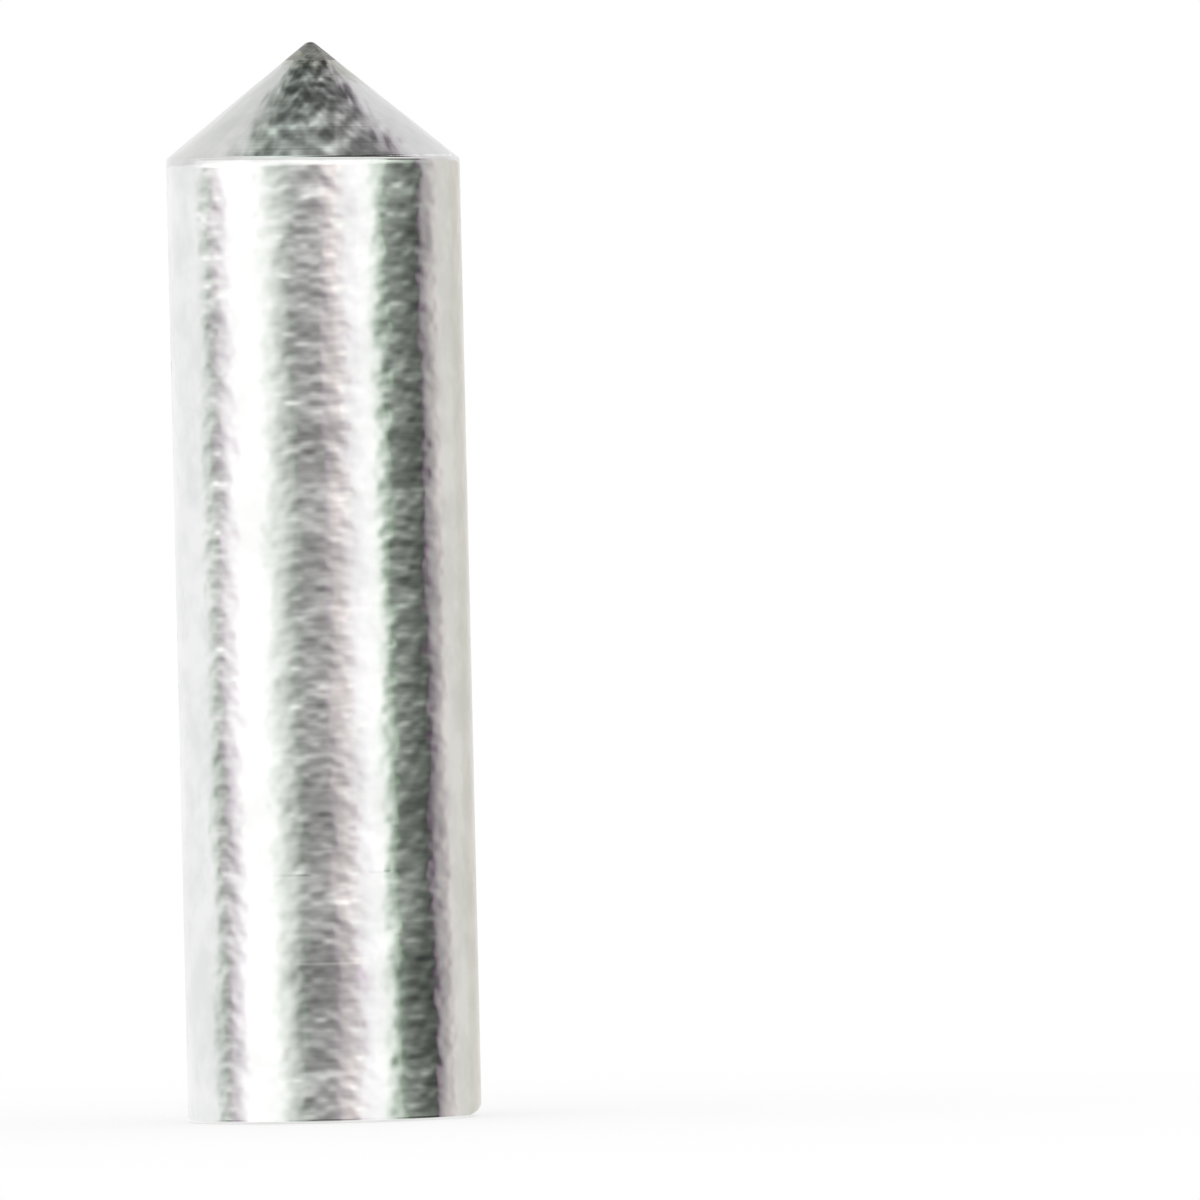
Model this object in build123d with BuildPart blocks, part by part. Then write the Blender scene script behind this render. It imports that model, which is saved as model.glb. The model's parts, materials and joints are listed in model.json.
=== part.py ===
"""Diamond engraving bit: a plain ground steel shank with a diamond point set in its conical nose.

Sizes are millimetres. +Z runs along the axis from the tail to the point, and the origin is the centre of
the flat tail end, on which the bit stands.
"""

import os
from math import cos, radians, sin, tan

from build123d import *

# Shank: a ground rod, parted off square at the tail
shank_diameter = 4.76
shank_length = 15.57  # tail end to the shoulder, where the nose cone starts
shoulder_radius = 0.09  # edge broken by tumbling, between the rod and its nose
tail_radius = 0.06  # the same at the tail end

# Nose: one cone, ground across the steel and the diamond together
nose_angle = 101.8  # included angle

# Diamond point, and the blind pocket that it is set in
diamond_diameter = 0.84
pocket_depth = 0.95  # straight wall of the pocket, from its mouth down
drill_point_angle = 118.0  # included angle of the pocket's floor, as the drill leaves it
tip_radius = 0.145  # worn round of the point

# Bruised corner on one side of the tail end
bruise_width = 0.24  # across the end face
bruise_height = 0.13  # up the side
bruise_runout = 0.5  # how far the cutter passes the corner each way, in bruise sizes

# Worked out from the sizes above
shank_radius = shank_diameter / 2
diamond_radius = diamond_diameter / 2
half_angle = radians(nose_angle / 2)
apex_height = shank_length + shank_radius / tan(half_angle)  # where the flanks would meet
mouth_height = apex_height - diamond_radius / tan(half_angle)
floor_height = mouth_height - pocket_depth
pocket_bottom = floor_height - diamond_radius / tan(radians(drill_point_angle / 2))
tip_centre = apex_height - tip_radius / sin(half_angle)  # centre of the round, on the axis
tangent_radius = tip_radius * cos(half_angle)  # where the round runs into the flank
tangent_height = tip_centre + tip_radius * sin(half_angle)
tip_height = tip_centre + tip_radius

os.makedirs("parts", exist_ok=True)

# Steel shank: the rod and its nose are turned in one piece
with BuildPart() as shank:
    with BuildSketch(Plane.XZ) as half_section:
        with BuildLine():
            Polyline(
                (0, 0),
                (shank_radius, 0),
                (shank_radius, shank_length),
                (0, apex_height),
                close=True,
            )
        make_face()
        fillet(half_section.vertices().group_by(Axis.X)[-1].sort_by(Axis.Y)[0], tail_radius)
        fillet(half_section.vertices().group_by(Axis.X)[-1].sort_by(Axis.Y)[-1], shoulder_radius)
    revolve(axis=Axis.Z)

    # Blind pocket, drilled from the point; the cutter runs on past the apex
    with BuildSketch(Plane.XZ):
        with BuildLine():
            Polyline(
                (0, pocket_bottom),
                (diamond_radius, floor_height),
                (diamond_radius, apex_height),
                (0, apex_height),
                close=True,
            )
        make_face()
    revolve(axis=Axis.Z, mode=Mode.SUBTRACT)

    # Bruised corner: a flat across the tail edge, at the side that faces +X
    with BuildSketch(Plane.XZ):
        with BuildLine():
            Polyline(
                (shank_radius - bruise_width * (1 + bruise_runout), -bruise_height * bruise_runout),
                (shank_radius + bruise_width * bruise_runout, -bruise_height * bruise_runout),
                (shank_radius + bruise_width * bruise_runout, bruise_height * (1 + bruise_runout)),
                close=True,
            )
        make_face()
    extrude(amount=shank_radius, both=True, mode=Mode.SUBTRACT)
shank.part.label = "shank"

# Diamond point: a stem that fills the pocket, under a cone that carries the nose on to its tip
with BuildPart() as diamond_point:
    with BuildSketch(Plane.XZ):
        with BuildLine():
            stem_and_flank = Polyline(
                (0, pocket_bottom),
                (diamond_radius, floor_height),
                (diamond_radius, mouth_height),
                (tangent_radius, tangent_height),
            )
            tip_round = TangentArc(
                stem_and_flank @ 1,
                (0, tip_height),
                tangent=stem_and_flank % 1,
            )
            Line(tip_round @ 1, stem_and_flank @ 0)
        make_face()
    revolve(axis=Axis.Z)
diamond_point.part.label = "diamond_point"

for piece in (shank.part, diamond_point.part):
    export_step(piece, f"parts/{piece.label}.step")
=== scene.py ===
"""Dresses the diamond engraving bit around its fixed frame and stands it in a small white studio.

Lengths are metres in the frame's own axes: +Z runs up the bit from its tail end to its point, and the
camera stands on the -Y side. Sizes that a maker would give in millimetres are written as numbers times MM.
"""

import json
import logging
import math
from collections.abc import Mapping, Sequence
from dataclasses import Field, dataclass, fields
from enum import Enum
from typing import Any

import bmesh
import bpy
from mathutils import Matrix, Vector


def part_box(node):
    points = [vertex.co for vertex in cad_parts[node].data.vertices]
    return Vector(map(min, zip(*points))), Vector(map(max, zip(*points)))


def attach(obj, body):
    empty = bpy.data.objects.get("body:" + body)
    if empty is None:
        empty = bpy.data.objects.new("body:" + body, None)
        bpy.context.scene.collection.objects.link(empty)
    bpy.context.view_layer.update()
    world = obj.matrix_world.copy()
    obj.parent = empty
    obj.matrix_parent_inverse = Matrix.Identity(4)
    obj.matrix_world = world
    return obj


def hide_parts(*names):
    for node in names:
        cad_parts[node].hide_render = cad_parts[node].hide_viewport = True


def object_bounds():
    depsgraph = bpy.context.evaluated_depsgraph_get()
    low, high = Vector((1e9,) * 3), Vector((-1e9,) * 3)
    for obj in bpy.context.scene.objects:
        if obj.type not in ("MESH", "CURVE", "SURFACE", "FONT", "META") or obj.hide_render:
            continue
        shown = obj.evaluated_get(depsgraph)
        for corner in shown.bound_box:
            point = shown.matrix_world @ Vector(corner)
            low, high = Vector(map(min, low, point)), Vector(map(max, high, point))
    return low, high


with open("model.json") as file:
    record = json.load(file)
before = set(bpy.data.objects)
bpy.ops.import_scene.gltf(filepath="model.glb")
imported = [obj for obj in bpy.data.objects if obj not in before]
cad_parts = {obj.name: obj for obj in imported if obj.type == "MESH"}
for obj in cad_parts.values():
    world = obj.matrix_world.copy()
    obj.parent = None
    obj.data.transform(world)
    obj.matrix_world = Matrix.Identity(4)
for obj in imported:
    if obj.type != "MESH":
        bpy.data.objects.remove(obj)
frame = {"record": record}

MM = 0.001
CAD_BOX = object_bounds()
SHANK_MOUNT = "shank"  # the record's mount that states the rod's radius
NOSE_LEAN = 50.9  # the angle between the nose's flank and the bit's axis, in degrees

Colour = tuple[float, float, float, float]  # red, green, blue and 1
Light = tuple[float, float, float]  # red, green and blue

log = logging.getLogger("engraving_bit")


def add_object(name: str, data: bpy.types.ID) -> bpy.types.Object:
    """Adds an object to the scene.

    Args:
        name: its name.
        data: its mesh or camera.

    Returns:
        The new object.
    """
    added = bpy.data.objects.new(name, data)
    bpy.context.scene.collection.objects.link(added)
    return added


class Node(Enum):
    """The names of the frame's nodes."""

    SHANK = "shank"
    DIAMOND = "diamond_point"


class Slot(Enum):
    """The names of the record's material slots."""

    STEEL = "ground_steel"
    DIAMOND = "diamond"


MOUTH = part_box(Node.SHANK.value)[1].z  # the height of the pocket's mouth, where the steel ends


class Wire:
    """An output socket whose arithmetic, written with Python's operators, becomes Math nodes."""

    def __init__(self, script: "NodeScript", socket: bpy.types.NodeSocket | None) -> None:
        """Keeps the socket, or None for a node without outputs, and the script that wrote its node."""
        self.script = script
        self.socket = socket

    def out(self, name: str) -> "Wire":
        """Returns the output of that name of the same node."""
        return Wire(self.script, find_socket(self.socket.node.outputs, name))

    def math(self, operation: str, *others: "Value") -> "Wire":
        """Returns the output of a Math node on this wire and the others."""
        return self.script.math(operation, self, *others)

    def __add__(self, other: "Value") -> "Wire":
        """Returns self + other."""
        return self.math("ADD", other)

    def __radd__(self, other: "Value") -> "Wire":
        """Returns other + self."""
        return self.script.math("ADD", other, self)

    def __sub__(self, other: "Value") -> "Wire":
        """Returns self - other."""
        return self.math("SUBTRACT", other)

    def __rsub__(self, other: "Value") -> "Wire":
        """Returns other - self."""
        return self.script.math("SUBTRACT", other, self)

    def __mul__(self, other: "Value") -> "Wire":
        """Returns self * other."""
        return self.math("MULTIPLY", other)

    def __rmul__(self, other: "Value") -> "Wire":
        """Returns other * self."""
        return self.script.math("MULTIPLY", other, self)

    def __truediv__(self, other: "Value") -> "Wire":
        """Returns self / other."""
        return self.math("DIVIDE", other)

    def __rtruediv__(self, other: "Value") -> "Wire":
        """Returns other / self."""
        return self.script.math("DIVIDE", other, self)

    def __neg__(self) -> "Wire":
        """Returns -self."""
        return self.math("MULTIPLY", -1.0)

    def ramp(self, low: float, high: float) -> "Wire":
        """Returns a smooth step of self.

        Args:
            low: the value at which the step is 0.
            high: the value at which it is 1. It may be under low, for a step that falls.

        Returns:
            The step, from 0 to 1.
        """
        settings = {"interpolation_type": "SMOOTHSTEP"}
        sockets = {"Value": self, "From Min": low, "From Max": high}
        return self.script.node("ShaderNodeMapRange", settings, sockets)


Value = Wire | float | int | bool | Sequence[float] | bpy.types.Material


def find_socket(sockets: bpy.types.bpy_prop_collection, key: str | int) -> bpy.types.NodeSocket:
    """Finds one of a node's sockets.

    Args:
        sockets: the node's inputs or outputs.
        key: the socket's place, or its name among the sockets in use.

    Returns:
        The socket.
    """
    if isinstance(key, int):
        return sockets[key]
    return next(socket for socket in sockets if socket.enabled and socket.name == key)


class NodeScript:
    """Writes nodes into one tree: a material's, the world's or a Geometry Nodes modifier's."""

    def __init__(self, tree: bpy.types.NodeTree) -> None:
        """Keeps the tree."""
        self.tree = tree

    def node(
        self,
        kind: str,
        settings: Mapping[str, Any] | None = None,
        sockets: Mapping[str | int, Value] | None = None,
    ) -> Wire:
        """Adds one node.

        Args:
            kind: the node's type.
            settings: its own settings, which are set first.
            sockets: the value or the wire of each input that isn't left as it is.

        Returns:
            Its first output in use.
        """
        node = self.tree.nodes.new(kind)
        for name, value in (settings or {}).items():
            setattr(node, name, value)
        for key, value in (sockets or {}).items():
            socket = find_socket(node.inputs, key)
            if isinstance(value, Wire):
                self.tree.links.new(value.socket, socket)
            else:
                socket.default_value = value
        used = [socket for socket in node.outputs if socket.enabled]
        return Wire(self, used[0] if used else None)

    def math(self, operation: str, *values: Value) -> Wire:
        """Adds a Math node of that operation on those values and returns its output."""
        sockets = dict(enumerate(values))
        return self.node("ShaderNodeMath", {"operation": operation}, sockets)

    def vector(self, operation: str, *values: Value) -> Wire:
        """Adds a Vector Math node and returns its output. A wire of one number counts as three alike."""
        sockets = dict(enumerate(values))
        return self.node("ShaderNodeVectorMath", {"operation": operation}, sockets)

    def combine(self, x: Value, y: Value, z: Value) -> Wire:
        """Returns the vector of three numbers."""
        return self.node("ShaderNodeCombineXYZ", None, {0: x, 1: y, 2: z})

    def separate(self, vector: Value) -> tuple[Wire, Wire, Wire]:
        """Returns a vector's three numbers."""
        parts = self.node("ShaderNodeSeparateXYZ", None, {0: vector})
        return parts.out("X"), parts.out("Y"), parts.out("Z")

    def mix(self, factor: Value, first: Value, second: Value) -> Wire:
        """Returns a colour between two colours, the first at factor 0 and the second at factor 1."""
        sockets = {"Factor": factor, "A": first, "B": second}
        return self.node("ShaderNodeMix", {"data_type": "RGBA"}, sockets).out("Result")


class Finish:
    """A surface finish, which makes one material."""

    name = "finish"

    def material(self) -> bpy.types.Material:
        """Makes a material with this finish.

        Returns:
            The new material.
        """
        material = bpy.data.materials.new(self.name)
        material.use_nodes = True
        material.node_tree.nodes.clear()
        script = NodeScript(material.node_tree)
        surface = self.surface(script)
        script.node("ShaderNodeOutputMaterial", None, {"Surface": surface})
        return material

    def surface(self, script: NodeScript) -> Wire:
        """Returns the surface shader. Each finish has its own."""
        raise NotImplementedError

    @staticmethod
    def place(script: NodeScript, stretch: Sequence[float] = (1.0, 1.0, 1.0)) -> Wire:
        """Returns the object's own coordinates, times stretch, which makes a pattern that much finer."""
        coordinates = script.node("ShaderNodeTexCoord").out("Object")
        return script.node("ShaderNodeMapping", None, {"Vector": coordinates, "Scale": stretch})

    @staticmethod
    def noise(script: NodeScript, place: Wire, size: float, detail: float, seed: float) -> Wire:
        """Returns a noise, mostly between 0.2 and 0.8, of blobs of one size and some finer layers."""
        sockets = {"Vector": place, "W": seed, "Scale": 1.0 / size, "Detail": detail, "Roughness": 0.55}
        return script.node("ShaderNodeTexNoise", {"noise_dimensions": "4D"}, sockets)

    @staticmethod
    def bump(script: NodeScript, height: Wire, depth: float, under: Wire | None = None) -> Wire:
        """Adds a bump.

        Args:
            script: the material's script.
            height: the relief, from 0 to 1.
            depth: what 1 is in metres.
            under: the normal of the relief that this one lies on, if any.

        Returns:
            The normal.
        """
        sockets: dict[str | int, Value] = {"Strength": 1.0, "Distance": depth, "Height": height}
        if under is not None:
            sockets["Normal"] = under
        return script.node("ShaderNodeBump", None, sockets)


@dataclass(frozen=True)
class RingScratch:
    """A fine scratch that runs part of the way round the rod, with a steep lower side.

    Attributes:
        height: its height up the rod.
        start: the angle at which it starts, in degrees round the rod from the side that faces the camera.
        end: the angle at which it ends.
        width: how wide its steep side is.
        depth: its depth, or less than 0 for a ridge.
        slant: how many times as wide its other side is.
        run_out: over how many degrees it dies out at each end.
    """

    height: float
    start: float
    end: float
    width: float
    depth: float
    slant: float = 4.0
    run_out: float = 4.0

    def groove(self, height: Wire, angle: Wire) -> Wire:
        """Says where the scratch is.

        Args:
            height: the height of a place on the rod.
            angle: its angle round the rod, in degrees.

        Returns:
            0 off the scratch, rising to 1 at its deepest.
        """
        off = height - self.height
        middle, reach = (self.start + self.end) / 2, (self.end - self.start) / 2
        across = off.ramp(-self.width, 0.0) * off.ramp(self.slant * self.width, 0.0)
        return across * (angle - middle).math("ABSOLUTE").ramp(reach, reach - self.run_out)


@dataclass(frozen=True)
class EdgeRoll:
    """How the skin rolls over towards an edge above.

    Attributes:
        start: the height up the bit at which it starts.
        reach: the height over which it goes on.
        radius: the radius that it is rolled to.
    """

    start: float
    reach: float
    radius: float

    def sink(self, height: Wire) -> Wire:
        """Returns twice the radius times how deep the skin lies at a height."""
        past = (height - self.start).math("MAXIMUM", 0.0).math("MINIMUM", self.reach)
        return past * past


@dataclass(frozen=True)
class Mark:
    """A small shallow bump or dent in the nose.

    Attributes:
        height: its height up the bit.
        radius: how far it is from the bit's axis.
        angle: where it is, in degrees round the bit from the side that faces the camera.
        size: its own radius.
        depth: how far it stands out, or less than 0 for a dent.
    """

    height: float
    radius: float
    angle: float
    size: float
    depth: float

    def rise(self, script: NodeScript, place: Wire) -> Wire:
        """Says where the mark is.

        Args:
            script: the material's script.
            place: the place on the piece.

        Returns:
            0 off the mark, rising to 1 at its middle.
        """
        turn = math.radians(self.angle)
        middle = (self.radius * math.sin(turn), -self.radius * math.cos(turn), self.height)
        return script.vector("DISTANCE", place, middle).ramp(self.size, 0.0)


@dataclass(frozen=True)
class Grain:
    """The fine relief of a finish.

    Attributes:
        size: the size of its blobs round the piece.
        stretch: how many times longer they are round the piece than along it.
        depth: how far it would rise and fall at the full swing of its noise.
        finer: how many finer layers it has.
        seed: picks one grain of the kind.
    """

    size: float
    stretch: float
    depth: float
    finer: float
    seed: float


@dataclass(frozen=True)
class GroundSteel(Finish):
    """Centreless-ground and tumbled bright steel: a fine pebbled grain with faint rings.

    It is duller in patches, and darker in a band round the diamond's mouth, whose edge wanders and lies
    lower towards +X.
    """

    name = "ground_steel"
    colour: Colour = (0.74, 0.74, 0.73, 1.0)
    dull_colour: Colour = (0.66, 0.665, 0.655, 1.0)
    patch_size: float = 0.8 * MM
    # the colour of the darker band round the diamond's mouth
    mouth_band_colour: Colour = (0.50, 0.50, 0.455, 1.0)
    mouth_band: tuple[float, float] = (16.90 * MM, 17.14 * MM)  # the heights between which that colour takes over
    mouth_band_slant: float = 0.25  # how much lower they are for each length further towards +X
    mouth_band_wander: float = 0.3 * MM  # how far the band's edge would wander at the full swing of its noise
    blot_size: float = 0.2 * MM  # the size of that noise's blobs
    roughness: float = 0.12  # on average
    dulling: float = 0.06  # how much rougher the dull patches are than the clean ones
    nose: tuple[float, float] = (15.5 * MM, 15.6 * MM)  # the heights between which its grain takes over
    rod_grain: Grain = Grain(0.43 * MM, 1.36, 0.0255 * MM, 1.1, 3.0)
    nose_grain: Grain = Grain(0.18 * MM, 0.35, 0.013 * MM, 0.6, 4.0)  # drawn out towards the nose's tip
    nose_middle: float = 1.3 * MM  # how far out that grain has its own size. It is coarser further out
    swell: Grain = Grain(5.0 * MM, 3.0, 0.06 * MM, 0.0, 6.0)  # long shallow waves that make the bands uneven
    marks: tuple[Mark, ...] = (
        Mark(15.85 * MM, 2.03 * MM, 7.0, 0.32 * MM, 0.0035 * MM),
        Mark(16.79 * MM, 0.87 * MM, 9.5, 0.15 * MM, -0.0018 * MM),
        Mark(16.62 * MM, 1.09 * MM, -18.6, 0.22 * MM, 0.0018 * MM),
    )
    roll: EdgeRoll = EdgeRoll(15.43 * MM, 0.16 * MM, 0.5 * MM)  # of the rod over to the shoulder
    crown: EdgeRoll = EdgeRoll(15.6 * MM, 1.6 * MM, 46.0 * MM)  # of the nose's flank
    rings: Grain = Grain(0.05 * MM, 1.0, 0.0003 * MM, 2.0, 8.0)  # left by grinding
    scratches: tuple[RingScratch, ...] = (
        RingScratch(4.03 * MM, -26.0, -6.0, 0.055 * MM, -0.0025 * MM),
        RingScratch(4.05 * MM, 15.0, 25.0, 0.055 * MM, -0.007 * MM),
        RingScratch(2.60 * MM, -17.0, 18.0, 0.065 * MM, 0.0018 * MM),
    )

    def surface(self, script: NodeScript) -> Wire:
        """Writes the steel's shader.

        Args:
            script: the material's script.

        Returns:
            The shader.
        """
        place = self.place(script)
        x, _, height = script.separate(place)
        tone = self.noise(script, place, self.patch_size, detail=3.0, seed=5.0).ramp(low=0.35, high=0.65)
        colour = script.mix(tone, self.colour, self.dull_colour)
        blot = self.noise(script, place, self.blot_size, detail=1.0, seed=9.0) - 0.5
        reach = height + x * self.mouth_band_slant + blot * self.mouth_band_wander
        sockets = {
            "Base Color": script.mix(reach.ramp(*self.mouth_band), colour, self.mouth_band_colour),
            "Metallic": 1.0,
            "Roughness": self.roughness + self.dulling * (tone - 0.5),
            "Normal": self.skin(script, place),
        }
        return script.node("ShaderNodeBsdfPrincipled", None, sockets)

    def skin(self, script: NodeScript, place: Wire) -> Wire:
        """Lays the steel's reliefs on each other.

        Args:
            script: the material's script.
            place: the place on the piece.

        Returns:
            The normal.
        """
        x, y, height = script.separate(place)
        radius = script.vector("LENGTH", script.combine(x, y, 0.0))
        angle = script.math("ARCTAN2", x, -y) * (180.0 / math.pi)
        on_nose = height.ramp(*self.nose)
        finer = (self.nose_middle / radius).math("SQRT")
        drawn = script.combine(x * finer, y * finer, height)
        normal = self.relief(script, self.rings, script.combine(radius, 0.0, height))
        for roll in (self.roll, self.crown):
            normal = self.bump(script, roll.sink(height), -0.5 / roll.radius, normal)
        for scratch in self.scratches:
            normal = self.bump(script, scratch.groove(height, angle), -scratch.depth, normal)
        normal = self.relief(script, self.swell, place, normal)
        normal = self.relief(script, self.rod_grain, place, normal, 1.0 - on_nose)
        normal = self.relief(script, self.nose_grain, drawn, normal, on_nose)
        for mark in self.marks:
            normal = self.bump(script, mark.rise(script, place), mark.depth, normal)
        return normal

    def relief(
        self, script: NodeScript, grain: Grain, place: Wire, under: Wire | None = None, share: Value = 1.0
    ) -> Wire:
        """Adds a grain to the surface.

        Args:
            script: the material's script.
            grain: the grain.
            place: the place on the piece.
            under: the normal of the relief that it lies on, if any.
            share: how much of it there is, from 0 to 1.

        Returns:
            The normal.
        """
        blobs = script.vector("MULTIPLY", place, (1.0, 1.0, grain.stretch))
        noise = self.noise(script, blobs, grain.size, grain.finer, grain.seed)
        return self.bump(script, noise * share, grain.depth, under)


@dataclass(frozen=True)
class RoughDiamond(Finish):
    """Industrial diamond, grey-brown, with small light and dark crystal faces."""

    name = "diamond"
    dark: Colour = (0.020, 0.020, 0.010, 1.0)  # of its darkest crystal faces
    light: Colour = (0.16, 0.157, 0.105, 1.0)  # of its lightest
    crystal_size: float = 0.19 * MM  # how wide the faces are
    squash: float = 1.4  # how many times less high than wide they are
    roughness: float = 0.15  # of the smoothest faces
    dulling: float = 0.2  # how much rougher the roughest are
    pitting: float = 0.006 * MM  # how deep the grain is
    refraction: float = 2.4
    gloss: float = 0.75  # how strongly it mirrors. 0.5 is what its refraction alone gives

    def surface(self, script: NodeScript) -> Wire:
        """Writes the diamond's shader.

        Args:
            script: the material's script.

        Returns:
            The shader.
        """
        place = self.place(script, (1.0, 1.0, self.squash))
        spread = {"Vector": place, "Scale": 1.0 / self.crystal_size}
        cells = script.node("ShaderNodeTexVoronoi", None, spread)
        pick = script.node("ShaderNodeSeparateColor", None, {"Color": cells.out("Color")})
        grain = self.noise(script, place, self.crystal_size, detail=1.0, seed=4.0)
        sockets = {
            "Base Color": script.mix(pick.out("Red").ramp(low=0.2, high=1.0), self.dark, self.light),
            "Roughness": self.roughness + self.dulling * pick.out("Green"),
            "IOR": self.refraction,
            "Specular IOR Level": self.gloss,
            "Normal": self.bump(script, grain, self.pitting),
        }
        return script.node("ShaderNodeBsdfPrincipled", None, sockets)


class HalfSection:
    """The half section of a turned piece: points in the XZ plane, from the axis outwards and back to it."""

    def __init__(self, radius: float, height: float) -> None:
        """Starts at a point."""
        self.points = [Vector((radius, 0.0, height))]

    def line_to(self, radius: float, height: float, step: float) -> None:
        """Adds a straight run.

        Args:
            radius: the radius of its end.
            height: the height of its end.
            step: the most that two points of the run may lie apart.
        """
        start, end = self.points[-1], Vector((radius, 0.0, height))
        count = max(1, math.ceil((end - start).length / step))
        self.points += [start.lerp(end, number / count) for number in range(1, count + 1)]

    def arc_to(self, centre: tuple[float, float], end_angle: float, count: int) -> None:
        """Adds an arc about a centre.

        Args:
            centre: its centre's radius and height.
            end_angle: the angle at which it ends, from straight outwards, in radians.
            count: how many steps it takes.
        """
        middle = Vector((centre[0], 0.0, centre[1]))
        spoke = self.points[-1] - middle
        start_angle = math.atan2(spoke.z, spoke.x)
        for number in range(1, count + 1):
            angle = start_angle + (end_angle - start_angle) * number / count
            self.points.append(middle + spoke.length * Vector((math.cos(angle), 0.0, math.sin(angle))))

    def mesh(self, name: str) -> bpy.types.Mesh:
        """Makes the section a mesh.

        Args:
            name: the mesh's name.

        Returns:
            A chain of edges, in order.
        """
        mesh = bpy.data.meshes.new(name)
        edges = [(number, number + 1) for number in range(len(self.points) - 1)]
        mesh.from_pydata([tuple(point) for point in self.points], edges, [])
        return mesh


@dataclass(frozen=True)
class Relief:
    """The fine relief of a turned skin, as real shape.

    Attributes:
        height: how far it rises and falls in all.
        size: the size of its blobs.
        lowest: the height on the piece from which it is there, so that hidden faces stay as turned.
        rise: the height over which it grows to the full.
        facets: how much of it is flat crystal faces, from 0, none, to 1, all.
        seed: picks one relief of the kind.
    """

    height: float
    size: float
    lowest: float
    rise: float
    facets: float
    seed: int


NO_RELIEF = Relief(height=0.0, size=MM, lowest=0.0, rise=MM, facets=0.0, seed=0)


@dataclass(frozen=True)
class Flat:
    """A flat that is cut across a piece.

    Attributes:
        normal: the direction that the flat faces, of length 1.
        distance: how far it is from the frame's origin along that direction.
    """

    normal: Vector
    distance: float


NO_FLAT = Flat(Vector((0.0, 0.0, 1.0)), 1.0)  # so far above the bit that it cuts nothing


@dataclass(frozen=True)
class Skew:
    """How far out of square the upper end of a turned bit is.

    Attributes:
        slope: how much lower it gets for each length that a place lies further towards +X.
        start: the height from which the bit is drawn out of square.
        end: the height from which all of it is.
    """

    slope: float
    start: float
    end: float


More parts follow.
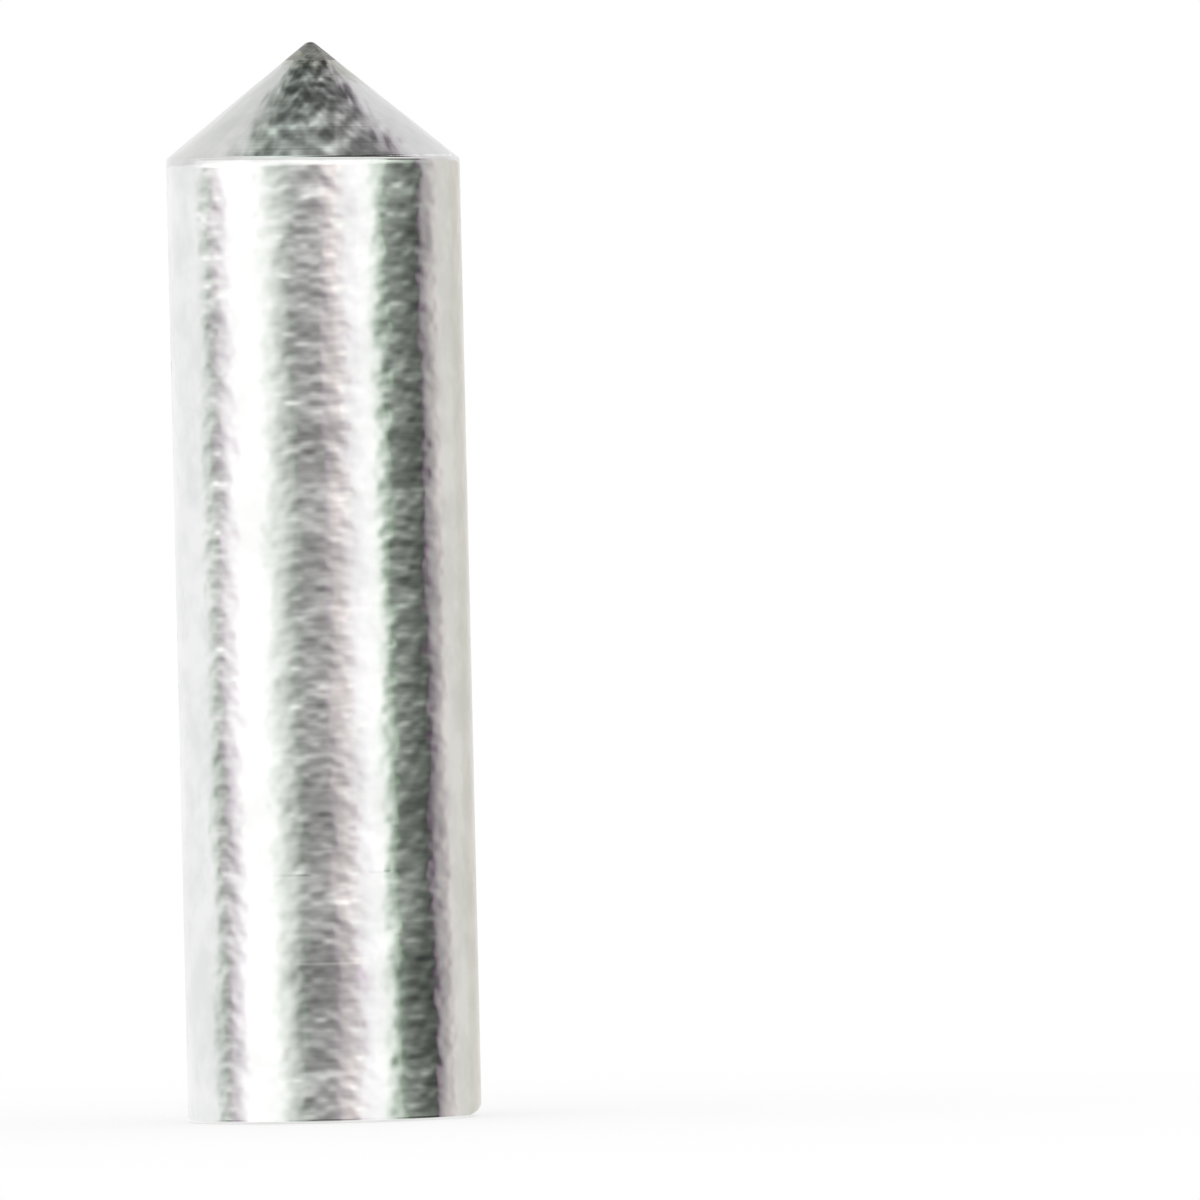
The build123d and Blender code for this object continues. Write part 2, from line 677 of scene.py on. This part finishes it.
class Lathe:
    """A Geometry Nodes tree that turns a half section about +Z, and then shapes its skin.

    Its inputs are named after the fields of what shapes the skin, such as Relief Height.

    Attributes:
        WELD: how close two points are that become one, at the seam and at the poles.
        SHARP_BEND: how far the skin bends at an edge that stays sharp.
        SOCKETS: the kind of input for each kind of field.
    """

    WELD = 1e-7
    SHARP_BEND = math.radians(35.0)
    SOCKETS = {float: "NodeSocketFloat", int: "NodeSocketInt", Vector: "NodeSocketVector"}

    def __init__(self) -> None:
        """Builds the tree."""
        self.tree = bpy.data.node_groups.new("turned_piece", "GeometryNodeTree")
        self.tree.is_modifier = True
        self.keys: dict[str, str] = {}
        self._add_sockets()
        self.script = NodeScript(self.tree)
        self.given = self.script.node("NodeGroupInput")
        geometry = self._turned()
        for offset in (self._relief, self._flat, self._skew):
            sockets = {"Geometry": geometry, "Offset": offset()}
            geometry = self.script.node("GeometryNodeSetPosition", None, sockets)
        self._finish(geometry)

    def _add_sockets(self) -> None:
        """Names the tree's inputs and its output."""
        wanted = {
            "Half Section": "NodeSocketGeometry",
            "Sides": "NodeSocketInt",
            "Material": "NodeSocketMaterial",
        }
        for shape in (Relief, Flat, Skew):
            wanted.update({name: self.SOCKETS[field.type] for name, field in self._inputs(shape).items()})
        for name, kind in wanted.items():
            socket = self.tree.interface.new_socket(name, in_out="INPUT", socket_type=kind)
            self.keys[name] = socket.identifier
        self.tree.interface.new_socket("Piece", in_out="OUTPUT", socket_type="NodeSocketGeometry")

    @staticmethod
    def _inputs(shape: type) -> dict[str, Field]:
        """Returns the fields of one kind of shape by the names of their inputs."""
        return {f"{shape.__name__} {field.name.title()}": field for field in fields(shape)}

    def _turned(self) -> Wire:
        """Turns the section about +Z.

        Returns:
            The turned geometry, with its seam and its two poles closed.
        """
        script, given = self.script, self.given
        section = given.out("Half Section")
        rows = script.node("GeometryNodeAttributeDomainSize", None, {"Geometry": section}).out("Point Count")
        sides = given.out("Sides")
        sockets = {"Size X": 1.0, "Size Y": 1.0, "Vertices X": sides + 1, "Vertices Y": rows}
        grid = script.node("GeometryNodeMeshGrid", None, sockets).out("Mesh")
        index = script.node("GeometryNodeInputIndex")
        column = ((index + 0.5) / rows).math("FLOOR")
        row = index - column * rows
        sockets = {"Geometry": section, "Value": self._position(), "Index": row}
        sample = script.node("GeometryNodeSampleIndex", {"data_type": "FLOAT_VECTOR"}, sockets).out("Value")
        radius, _, height = script.separate(sample)
        angle = column * (2 * math.pi) / sides
        position = script.combine(radius * angle.math("COSINE"), radius * angle.math("SINE"), height)
        turned = script.node("GeometryNodeSetPosition", None, {"Geometry": grid, "Position": position})
        sockets = {"Geometry": turned, "Distance": self.WELD}
        return script.node("GeometryNodeMergeByDistance", None, sockets)

    def _position(self) -> Wire:
        """Returns the place of each point."""
        return self.script.node("GeometryNodeInputPosition")

    def _relief(self) -> Wire:
        """Works out the relief.

        Returns:
            How far it moves each point in or out along its normal.
        """
        script, given = self.script, self.given
        place = self._position()
        scale = 1.0 / given.out("Relief Size")
        sockets = {"Vector": place, "W": given.out("Relief Seed"), "Scale": scale}
        cells = script.node("ShaderNodeTexVoronoi", {"voronoi_dimensions": "4D"}, sockets)
        sockets["Detail"] = 1.0
        blobs = script.node("ShaderNodeTexNoise", {"noise_dimensions": "4D"}, sockets)
        tilt = script.vector("SUBTRACT", cells.out("Color"), (0.5, 0.5, 0.5))
        from_seed = script.vector("SUBTRACT", place, cells.out("Position"))
        faces = script.vector("DOT_PRODUCT", tilt, from_seed) * scale
        share = given.out("Relief Facets")
        rise = (blobs - 0.5) * (1.0 - share) + faces * share
        grown = (script.separate(place)[2] - given.out("Relief Lowest")) / given.out("Relief Rise")
        there = grown.math("MINIMUM", 1.0).math("MAXIMUM", 0.0)
        normal = script.node("GeometryNodeInputNormal")
        return script.vector("MULTIPLY", normal, rise * given.out("Relief Height") * there)

    def _flat(self) -> Wire:
        """Works out the flat.

        Returns:
            How each point that stands past it moves on to it.
        """
        normal = self.given.out("Flat Normal")
        along = self.script.vector("DOT_PRODUCT", self._position(), normal)
        past = (along - self.given.out("Flat Distance")).math("MAXIMUM", 0.0)
        return self.script.vector("MULTIPLY", normal, -past)

    def _skew(self) -> Wire:
        """Works out the skew.

        Returns:
            How far each point of the upper end drops, or rises at the side that faces -X.
        """
        script, given = self.script, self.given
        x, _, height = script.separate(self._position())
        sockets = {"Value": height, "From Min": given.out("Skew Start"), "From Max": given.out("Skew End")}
        share = script.node("ShaderNodeMapRange", {"interpolation_type": "SMOOTHSTEP"}, sockets)
        return script.combine(0.0, 0.0, -(x * given.out("Skew Slope") * share))

    def _finish(self, geometry: Wire) -> None:
        """Smooths the skin except at its sharp edges, gives it the material and ends the tree.

        Args:
            geometry: the shaped skin.
        """
        script = self.script
        bend = script.node("GeometryNodeInputMeshEdgeAngle").out("Unsigned Angle")
        sharp = bend.math("GREATER_THAN", self.SHARP_BEND)
        sockets = {"Geometry": geometry, "Selection": sharp, "Shade Smooth": False}
        creased = script.node("GeometryNodeSetShadeSmooth", {"domain": "EDGE"}, sockets)
        real = script.node("GeometryNodeRealizeInstances", None, {"Geometry": creased})
        sockets = {"Geometry": real, "Material": self.given.out("Material")}
        done = script.node("GeometryNodeSetMaterial", None, sockets)
        script.node("NodeGroupOutput", None, {"Piece": done})

    def turn(
        self,
        name: str,
        section: HalfSection,
        sides: int,
        relief: Relief,
        flat: Flat,
        skew: Skew,
        material: bpy.types.Material,
    ) -> bpy.types.Object:
        """Turns one piece.

        Args:
            name: the piece's name.
            section: its half section.
            sides: how many faces it has round its axis.
            relief: the fine relief of its skin.
            flat: the flat that is cut across it.
            skew: how far out of square its upper end is.
            material: its material.

        Returns:
            A new object at the origin with a plain mesh.
        """
        rough = add_object(name + "_section", section.mesh(name + "_section"))
        modifier = rough.modifiers.new("turned", "NODES")
        modifier.node_group = self.tree
        values: dict[str, Any] = {"Sides": sides, "Material": material}
        for shape in (relief, flat, skew):
            for title, field in self._inputs(type(shape)).items():
                values[title] = getattr(shape, field.name)
        for title, value in values.items():
            modifier[self.keys[title]] = tuple(value) if isinstance(value, Vector) else value
        graph = bpy.context.evaluated_depsgraph_get()
        mesh = bpy.data.meshes.new_from_object(rough.evaluated_get(graph))
        mesh.name = name
        bpy.data.objects.remove(rough)
        piece = add_object(name, mesh)
        log.info("%s: %d vertices, %d faces", name, len(mesh.vertices), len(mesh.polygons))
        return piece


@dataclass(frozen=True)
class EngravingBit:
    """The bit: a steel shank with a conical nose, and a diamond set in the tip of the nose.

    The sizes that the frame gives are read from it. The others repeat those of the solids.
    """

    half_angle: float = math.radians(NOSE_LEAN)  # between the nose's flank and the axis
    shoulder_radius: float = 0.09 * MM  # of the round between the rod and the nose
    tail_radius: float = 0.06 * MM  # of the round of the tail end's edge
    drill_point_angle: float = math.radians(118.0)  # the included angle of the pocket's floor
    bruise_width: float = 0.24 * MM  # how far the bruised corner reaches across the tail face
    bruise_height: float = 0.13 * MM  # how far it reaches up the side
    skew: Skew = Skew(slope=0.019, start=14.6 * MM, end=15.5 * MM)
    crystals: Relief = Relief(
        height=0.012 * MM, size=0.22 * MM, lowest=MOUTH, rise=0.06 * MM, facets=0.5, seed=5
    )
    shank_sides: int = 448  # how many faces the shank has round its axis
    diamond_sides: int = 192
    tail_step: float = 0.08 * MM  # the most that rows of points lie apart, here on the tail face
    rod_step: float = 0.12 * MM
    nose_step: float = 0.1 * MM
    pocket_step: float = 0.2 * MM  # in the pocket and on the diamond's stem
    point_step: float = 0.006 * MM  # on the diamond's flank
    edge_rows: int = 6  # how many rows of faces the round of an edge has
    tip_rows: int = 16
    steel: GroundSteel = GroundSteel()
    diamond: RoughDiamond = RoughDiamond()

    @property
    def radius(self) -> float:
        """The shank's radius, which its mount states."""
        mount = next(mount for mount in frame["record"]["mounts"] if mount["name"] == SHANK_MOUNT)
        return mount["dims"]["r_mm"] * MM

    @property
    def diamond_radius(self) -> float:
        """The radius of the diamond and of its pocket."""
        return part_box(Node.DIAMOND.value)[1].x

    @property
    def pocket_floor(self) -> float:
        """The height at which the pocket's straight wall ends."""
        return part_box(Node.DIAMOND.value)[0].z + self.diamond_radius / math.tan(self.drill_point_angle / 2)

    def shank_section(self) -> HalfSection:
        """Draws the shank.

        Returns:
            Its half section.
        """
        shoulder = MOUTH - (self.radius - self.diamond_radius) / math.tan(self.half_angle)
        tangent = self.shoulder_radius * math.tan(self.half_angle / 2)
        section = HalfSection(0.0, 0.0)
        section.line_to(self.radius - self.tail_radius, 0.0, self.tail_step)
        section.arc_to((self.radius - self.tail_radius, self.tail_radius), 0.0, self.edge_rows)
        section.line_to(self.radius, shoulder - tangent, self.rod_step)
        shoulder_centre = (self.radius - self.shoulder_radius, shoulder - tangent)
        section.arc_to(shoulder_centre, self.half_angle, self.edge_rows)
        section.line_to(self.diamond_radius, MOUTH, self.nose_step)
        section.line_to(self.diamond_radius, self.pocket_floor, self.pocket_step)
        section.line_to(0.0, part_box(Node.DIAMOND.value)[0].z, self.pocket_step)
        return section

    def diamond_section(self) -> HalfSection:
        """Draws the diamond.

        Returns:
            Its half section.
        """
        low, high = (corner.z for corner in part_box(Node.DIAMOND.value))
        apex = MOUTH + self.diamond_radius / math.tan(self.half_angle)
        tip_radius = (apex - high) / (1 / math.sin(self.half_angle) - 1)
        tip_centre = high - tip_radius
        tangent_height = tip_centre + tip_radius * math.sin(self.half_angle)
        section = HalfSection(0.0, low)
        section.line_to(self.diamond_radius, self.pocket_floor, self.pocket_step)
        section.line_to(self.diamond_radius, MOUTH, self.pocket_step)
        section.line_to(tip_radius * math.cos(self.half_angle), tangent_height, self.point_step)
        section.arc_to((0.0, tip_centre), math.pi / 2, self.tip_rows)
        return section

    def build(self, lathe: Lathe) -> None:
        """Makes both pieces and lets them ride on the frame.

        Args:
            lathe: the lathe that turns them.
        """
        across = Vector((self.bruise_height, 0.0, -self.bruise_width)).normalized()
        bruise = Flat(across, across.x * (self.radius - self.bruise_width))
        section, steel = self.shank_section(), self.steel.material()
        shank = lathe.turn("steel_shank", section, self.shank_sides, NO_RELIEF, bruise, self.skew, steel)
        self._seat(shank, Node.SHANK, Slot.STEEL)
        section, stone, faces = self.diamond_section(), self.diamond.material(), self.crystals
        point = lathe.turn("set_diamond", section, self.diamond_sides, faces, NO_FLAT, self.skew, stone)
        self._seat(point, Node.DIAMOND, Slot.DIAMOND)

    @staticmethod
    def _seat(piece: bpy.types.Object, node: Node, slot: Slot) -> None:
        """Seats a piece in the frame.

        Args:
            piece: the piece.
            node: the solid that it stands for.
            slot: the record's slot of its finish. It is not used.
        """
        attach(piece, "root")
        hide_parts(node.value)


@dataclass(frozen=True)
class Glow(Finish):
    """A surface that only shines, as its mesh's attribute "light" says."""

    name = "glow"

    def surface(self, script: NodeScript) -> Wire:
        """Returns the light's shader."""
        light = script.node("ShaderNodeAttribute", {"attribute_name": "light"}).out("Color")
        return script.node("ShaderNodeEmission", None, {"Color": light})


@dataclass(frozen=True)
class PaleFloor(Finish):
    """A white matt floor, which direct looks see as almost evenly white."""

    name = "pale_floor"
    colour: Colour = (0.98, 0.98, 0.98, 1.0)
    even_white: float = 0.6  # how much of what direct looks see is even white, next to the bit
    shadow_start: float = 7.5 * MM  # how far from the axis the even white starts to take over
    shadow_end: float = 30.0 * MM  # how far from it all is even white

    def surface(self, script: NodeScript) -> Wire:
        """Writes the floor's shader.

        Args:
            script: the material's script.

        Returns:
            The shader.
        """
        matt = script.node("ShaderNodeBsdfDiffuse", None, {"Color": self.colour})
        white = script.node("ShaderNodeEmission", None, {"Strength": 1.0})
        away = script.vector("LENGTH", self.place(script)).ramp(self.shadow_start, self.shadow_end)
        share = self.even_white + (1.0 - self.even_white) * away
        seen = script.node("ShaderNodeLightPath").out("Is Camera Ray")
        return script.node("ShaderNodeMixShader", None, {0: seen * share, 1: matt, 2: white})


@dataclass(frozen=True)
class Card:
    """A strip of card on a wall of the light tent, given by where the bit mirrors it to the camera.

    Attributes:
        start: where the strip starts, in degrees round the bit from the side that faces the camera.
        end: where it ends.
        fade_in: over how many degrees before its start it fades in.
        fade_out: over how many degrees after its end it fades out.
        first_light: its light at its start.
        last_light: its light at its end.
        stripes: how many times brighter than this light its light stripes are, and its dark stripes darker.
        flare: how many degrees wider it is at each side in its dark stripes, and narrower in its light ones.
    """

    start: float
    end: float
    fade_in: float
    fade_out: float
    first_light: Light
    last_light: Light
    stripes: float = 1.0
    flare: float = 0.0

    def light(self, angle: float, swing: float) -> Vector:
        """Returns the card's light at an angle, in a stripe that swings from -1, dark, to 1, light."""
        along = min(max((angle - self.start) / (self.end - self.start), 0.0), 1.0)
        return Vector(self.first_light).lerp(Vector(self.last_light), along) * self.stripes**swing

    def cover(self, angle: float, swing: float) -> float:
        """Says how much of the wall behind it the card hides.

        Args:
            angle: the angle.
            swing: the swing of the stripe there.

        Returns:
            The share that it hides, from 0 to 1.
        """
        before = self.start + self.flare * swing - angle
        past = angle - self.end + self.flare * swing
        return max(0.0, 1.0 - max(before / self.fade_in, past / self.fade_out, 0.0))


@dataclass(frozen=True)
class Wall:
    """A wall of the light tent, laid out by where one of the bit's surfaces mirrors it to the camera.

    Attributes:
        name: its name.
        stripes: its level stripes. Each is given by how much further back than the surface a patch leans
            that mirrors it, in degrees, and by its swing from -1, dark, to 1, light.
        white: its light where it has no card.
        cards: its cards, each laid over those before it.
        lean: how far the surface leans back from upright, in degrees.
        start: where the surface starts to mirror the wall, in degrees round the bit as for the cards.
        end: where it stops mirroring it.
        fringe: how many degrees further round its green light lies, which edges the cards with colour.
    """

    name: str
    stripes: tuple[tuple[float, float], ...]
    white: float
    cards: tuple[Card, ...] = ()
    lean: float = 0.0
    start: float = -89.9
    end: float = 89.9
    fringe: float = 0.5

    def mirrored(self, angle: float, tilt: float) -> Vector:
        """Finds the direction that a patch of the surface mirrors to the camera.

        Args:
            angle: where the patch is, in degrees round the bit.
            tilt: how much further back than the surface it leans.

        Returns:
            The direction, of length 1.
        """
        turn, lean = math.radians(angle), math.radians(self.lean + tilt)
        normal = Vector((math.sin(turn) * math.cos(lean), -math.cos(turn) * math.cos(lean), math.sin(lean)))
        return Vector((0.0, 1.0, 0.0)) - 2 * normal.y * normal

    def light_at(self, angle: float, swing: float) -> Vector:
        """Lights one place of the wall.

        Args:
            angle: where the bit mirrors it.
            swing: the swing of the stripe there.

        Returns:
            Its light.
        """
        light = Vector((self.white, self.white, self.white))
        green = light
        for card in self.cards:
            light = light.lerp(card.light(angle, swing), card.cover(angle, swing))
            shifted = angle - self.fringe
            green = green.lerp(card.light(shifted, swing), card.cover(shifted, swing))
        return Vector((light.x, green.y, light.z))

    def build(self, radius: float, step: float, glow: bpy.types.Material) -> None:
        """Builds the wall and hides it from all but mirrored looks.

        Args:
            radius: how far from the bit it stands.
            step: how finely it is made, in degrees round the bit.
            glow: its material.
        """
        count = round((self.end - self.start) / step)
        angles = [self.start + (self.end - self.start) * number / count for number in range(count + 1)]
        points = [self.mirrored(angle, tilt) * radius for tilt, _ in self.stripes for angle in angles]
        lights = [self.light_at(angle, swing) for _, swing in self.stripes for angle in angles]
        width = len(angles)
        faces = [
            (first, first + 1, first + width + 1, first + width)
            for row in range(len(self.stripes) - 1)
            for first in range(row * width, row * width + width - 1)
        ]
        mesh = bpy.data.meshes.new(self.name)
        mesh.from_pydata([tuple(point) for point in points], [], faces)
        light = mesh.attributes.new("light", "FLOAT_COLOR", "POINT")
        light.data.foreach_set("color", [part for colour in lights for part in (*colour, 1.0)])
        mesh.materials.append(glow)
        wall = add_object(self.name, mesh)
        wall.visible_camera = False
        wall.visible_diffuse = False
        wall.visible_transmission = False
        wall.visible_shadow = False


ROD_WALL = Wall(
    name="rod_wall",
    stripes=(
        (-30.0, 0.0),
        (-18.0, 0.0),
        (-12.0, -0.6),
        (-8.6, -1.0),
        (-5.8, -0.67),
        (-3.0, -0.33),
        (-0.2, 0.0),
        (2.6, 0.33),
        (6.6, 0.8),
        (9.25, 0.8),
    ),
    white=1.5,
    cards=(
        Card(-90.0, -50.0, 1.0, 8.0, (1.09, 1.085, 1.10), (1.19, 1.195, 1.21)),
        Card(-90.0, -85.0, 1.0, 6.0, (1.0, 1.0, 1.0), (1.03, 1.03, 1.04)),
        Card(50.0, 90.0, 6.0, 1.0, (0.95, 0.93, 0.885), (0.84, 0.82, 0.785)),
        Card(69.0, 75.0, 5.0, 7.0, (0.82, 0.80, 0.745), (0.81, 0.785, 0.73)),
        Card(86.0, 90.0, 5.0, 1.0, (0.87, 0.86, 0.835), (0.97, 0.965, 0.96)),
        Card(15.0, 20.0, 3.0, 3.0, (1.38, 1.38, 1.40), (1.37, 1.38, 1.37), 1.1),
        Card(-47.0, -44.0, 7.0, 9.5, (0.69, 0.71, 0.69), (0.71, 0.70, 0.70), 3.0),
        Card(-10.0, 0.5, 14.0, 16.0, (0.44, 0.45, 0.44), (0.47, 0.46, 0.455), 4.0),
        Card(5.0, 9.0, 3.0, 2.5, (0.775, 0.735, 0.71), (1.02, 0.985, 0.965), 2.3),
        Card(28.2, 44.0, 7.5, 11.5, (0.315, 0.34, 0.315), (0.106, 0.112, 0.105), 5.2),
    ),
)
SHOULDER_WALL = Wall(
    name="shoulder_wall",
    stripes=((9.25, 1.0), (18.0, 0.4), (27.0, -0.5), (34.5, -1.0)),
    white=1.1,
    cards=(
        Card(-46.0, 29.0, 14.0, 5.0, (1.15, 1.15, 1.15), (1.15, 1.15, 1.15), 1.3),
        Card(-90.0, -56.0, 1.0, 8.0, (1.0, 1.0, 1.0), (0.95, 0.95, 0.96)),
        Card(29.0, 46.0, 5.0, 8.0, (0.35, 0.36, 0.35), (0.20, 0.21, 0.20)),
        Card(54.0, 90.0, 8.0, 1.0, (0.85, 0.83, 0.80), (1.0, 1.0, 1.0)),
    ),
)
TAIL_WALL = Wall(name="tail_wall", stripes=((-60.0, 0.0), (-45.0, 0.0), (-30.0, 0.0)), white=1.15)
NOSE_WALL = Wall(
    name="nose_wall",
    stripes=((-16.0, 1.1), (-1.7, 1.1), (-0.8, 0.55), (0.1, 0.0), (1.0, -0.55), (1.9, -1.1), (14.0, -1.1)),
    white=0.95,
    cards=(
        Card(-90.0, -45.0, 1.0, 5.0, (0.98, 0.98, 0.98), (0.86, 0.87, 0.86)),
        Card(46.0, 90.0, 5.0, 1.0, (0.85, 0.85, 0.86), (0.95, 0.95, 0.96)),
        Card(-18.5, 29.5, 18.0, 12.5, (0.235, 0.265, 0.245), (0.245, 0.24, 0.245), 4.0, 4.5),
    ),
    lean=NOSE_LEAN,
    start=-80.0,
    end=80.0,
)


@dataclass(frozen=True)
class LightTent:
    """A wide tent of light and dark walls round the bit. Only mirrored looks see it."""

    radius: float = 1.0  # how far from the bit its walls stand
    step: float = 0.25  # how finely they are made, in degrees round the bit
    walls: tuple[Wall, ...] = (ROD_WALL, SHOULDER_WALL, TAIL_WALL, NOSE_WALL)

    def build(self) -> None:
        """Builds the tent."""
        glow = Glow().material()
        for wall in self.walls:
            wall.build(self.radius, self.step, glow)


@dataclass(frozen=True)
class Studio:
    """The white floor, the soft white light all round and the light tent."""

    floor_radius: float = 0.6
    floor_sides: int = 96
    floor_gap: float = 0.01 * MM  # from the tail face down, so that the two are never seen mixed
    tent: LightTent = LightTent()
    floor: PaleFloor = PaleFloor()

    def build(self) -> None:
        """Builds the studio."""
        mesh = bpy.data.meshes.new("floor")
        shape = bmesh.new()
        level = Matrix.Translation((0.0, 0.0, -self.floor_gap))
        bmesh.ops.create_circle(
            shape, cap_ends=True, segments=self.floor_sides, radius=self.floor_radius, matrix=level
        )
        shape.to_mesh(mesh)
        shape.free()
        mesh.materials.append(self.floor.material())
        floor = add_object("floor", mesh)
        floor.visible_glossy = False
        self._light_world()
        self.tent.build()

    @staticmethod
    def _light_world() -> None:
        """Lights the scene evenly from all round."""
        world = bpy.data.worlds.new("studio_light")
        world.use_nodes = True
        world.node_tree.nodes.clear()
        script = NodeScript(world.node_tree)
        sockets = {"Color": (1.0, 1.0, 1.0, 1.0), "Strength": 1.0}
        background = script.node("ShaderNodeBackground", None, sockets)
        script.node("ShaderNodeOutputWorld", None, {"Surface": background})
        bpy.context.scene.world = world


@dataclass(frozen=True)
class Photograph:
    """How the photograph sees the bit, in its own frame of 1200 by 1200 pixels."""

    frame_side: float = 1200.0  # in pixels
    scale: float = 61.66 / MM  # how many pixels a metre on the bit covers
    tip: tuple[float, float] = (310.2, 42.0)  # the pixel of the bit's point, from the left and the top
    lean: float = math.radians(1.32)  # how far the bit's top leans to the left
    distance: float = 408.0 * MM  # from the bit's axis to the camera
    eye: float = 12.5 * MM  # the camera's height over the tail end
    sensor: float = 36.0  # the width of the camera's sensor, in Blender's millimetres

    def build_camera(self, tip_height: float) -> None:
        """Makes the scene's camera.

        Args:
            tip_height: the height of the bit's point.
        """
        middle = self.frame_side / 2
        right, down = middle - self.tip[0], middle - self.tip[1]
        across = right * math.cos(self.lean) - down * math.sin(self.lean)
        along = right * math.sin(self.lean) + down * math.cos(self.lean)
        target = Vector((across / self.scale, 0.0, tip_height - along / self.scale))
        place = Vector((0.0, -self.distance, self.eye))
        data = bpy.data.cameras.new("camera")
        data.sensor_width = self.sensor
        data.lens = self.sensor * (target - place).length * self.scale / self.frame_side
        data.clip_start = self.distance / 10
        data.clip_end = self.distance * 10
        camera = add_object("camera", data)
        level = (target - place).to_track_quat("-Z", "Y").to_matrix().to_4x4()
        camera.matrix_world = Matrix.Translation(place) @ level @ Matrix.Rotation(-self.lean, 4, "Z")
        bpy.context.scene.camera = camera


def main() -> None:
    """Builds the bit, its studio and its camera."""
    logging.basicConfig(level=logging.INFO, format="%(name)s: %(message)s")
    bit = EngravingBit()
    bit.build(Lathe())
    Studio().build()
    Photograph().build_camera(CAD_BOX[1].z)
    bpy.context.scene.view_settings.view_transform = "Standard"


if __name__ == "__main__":
    main()
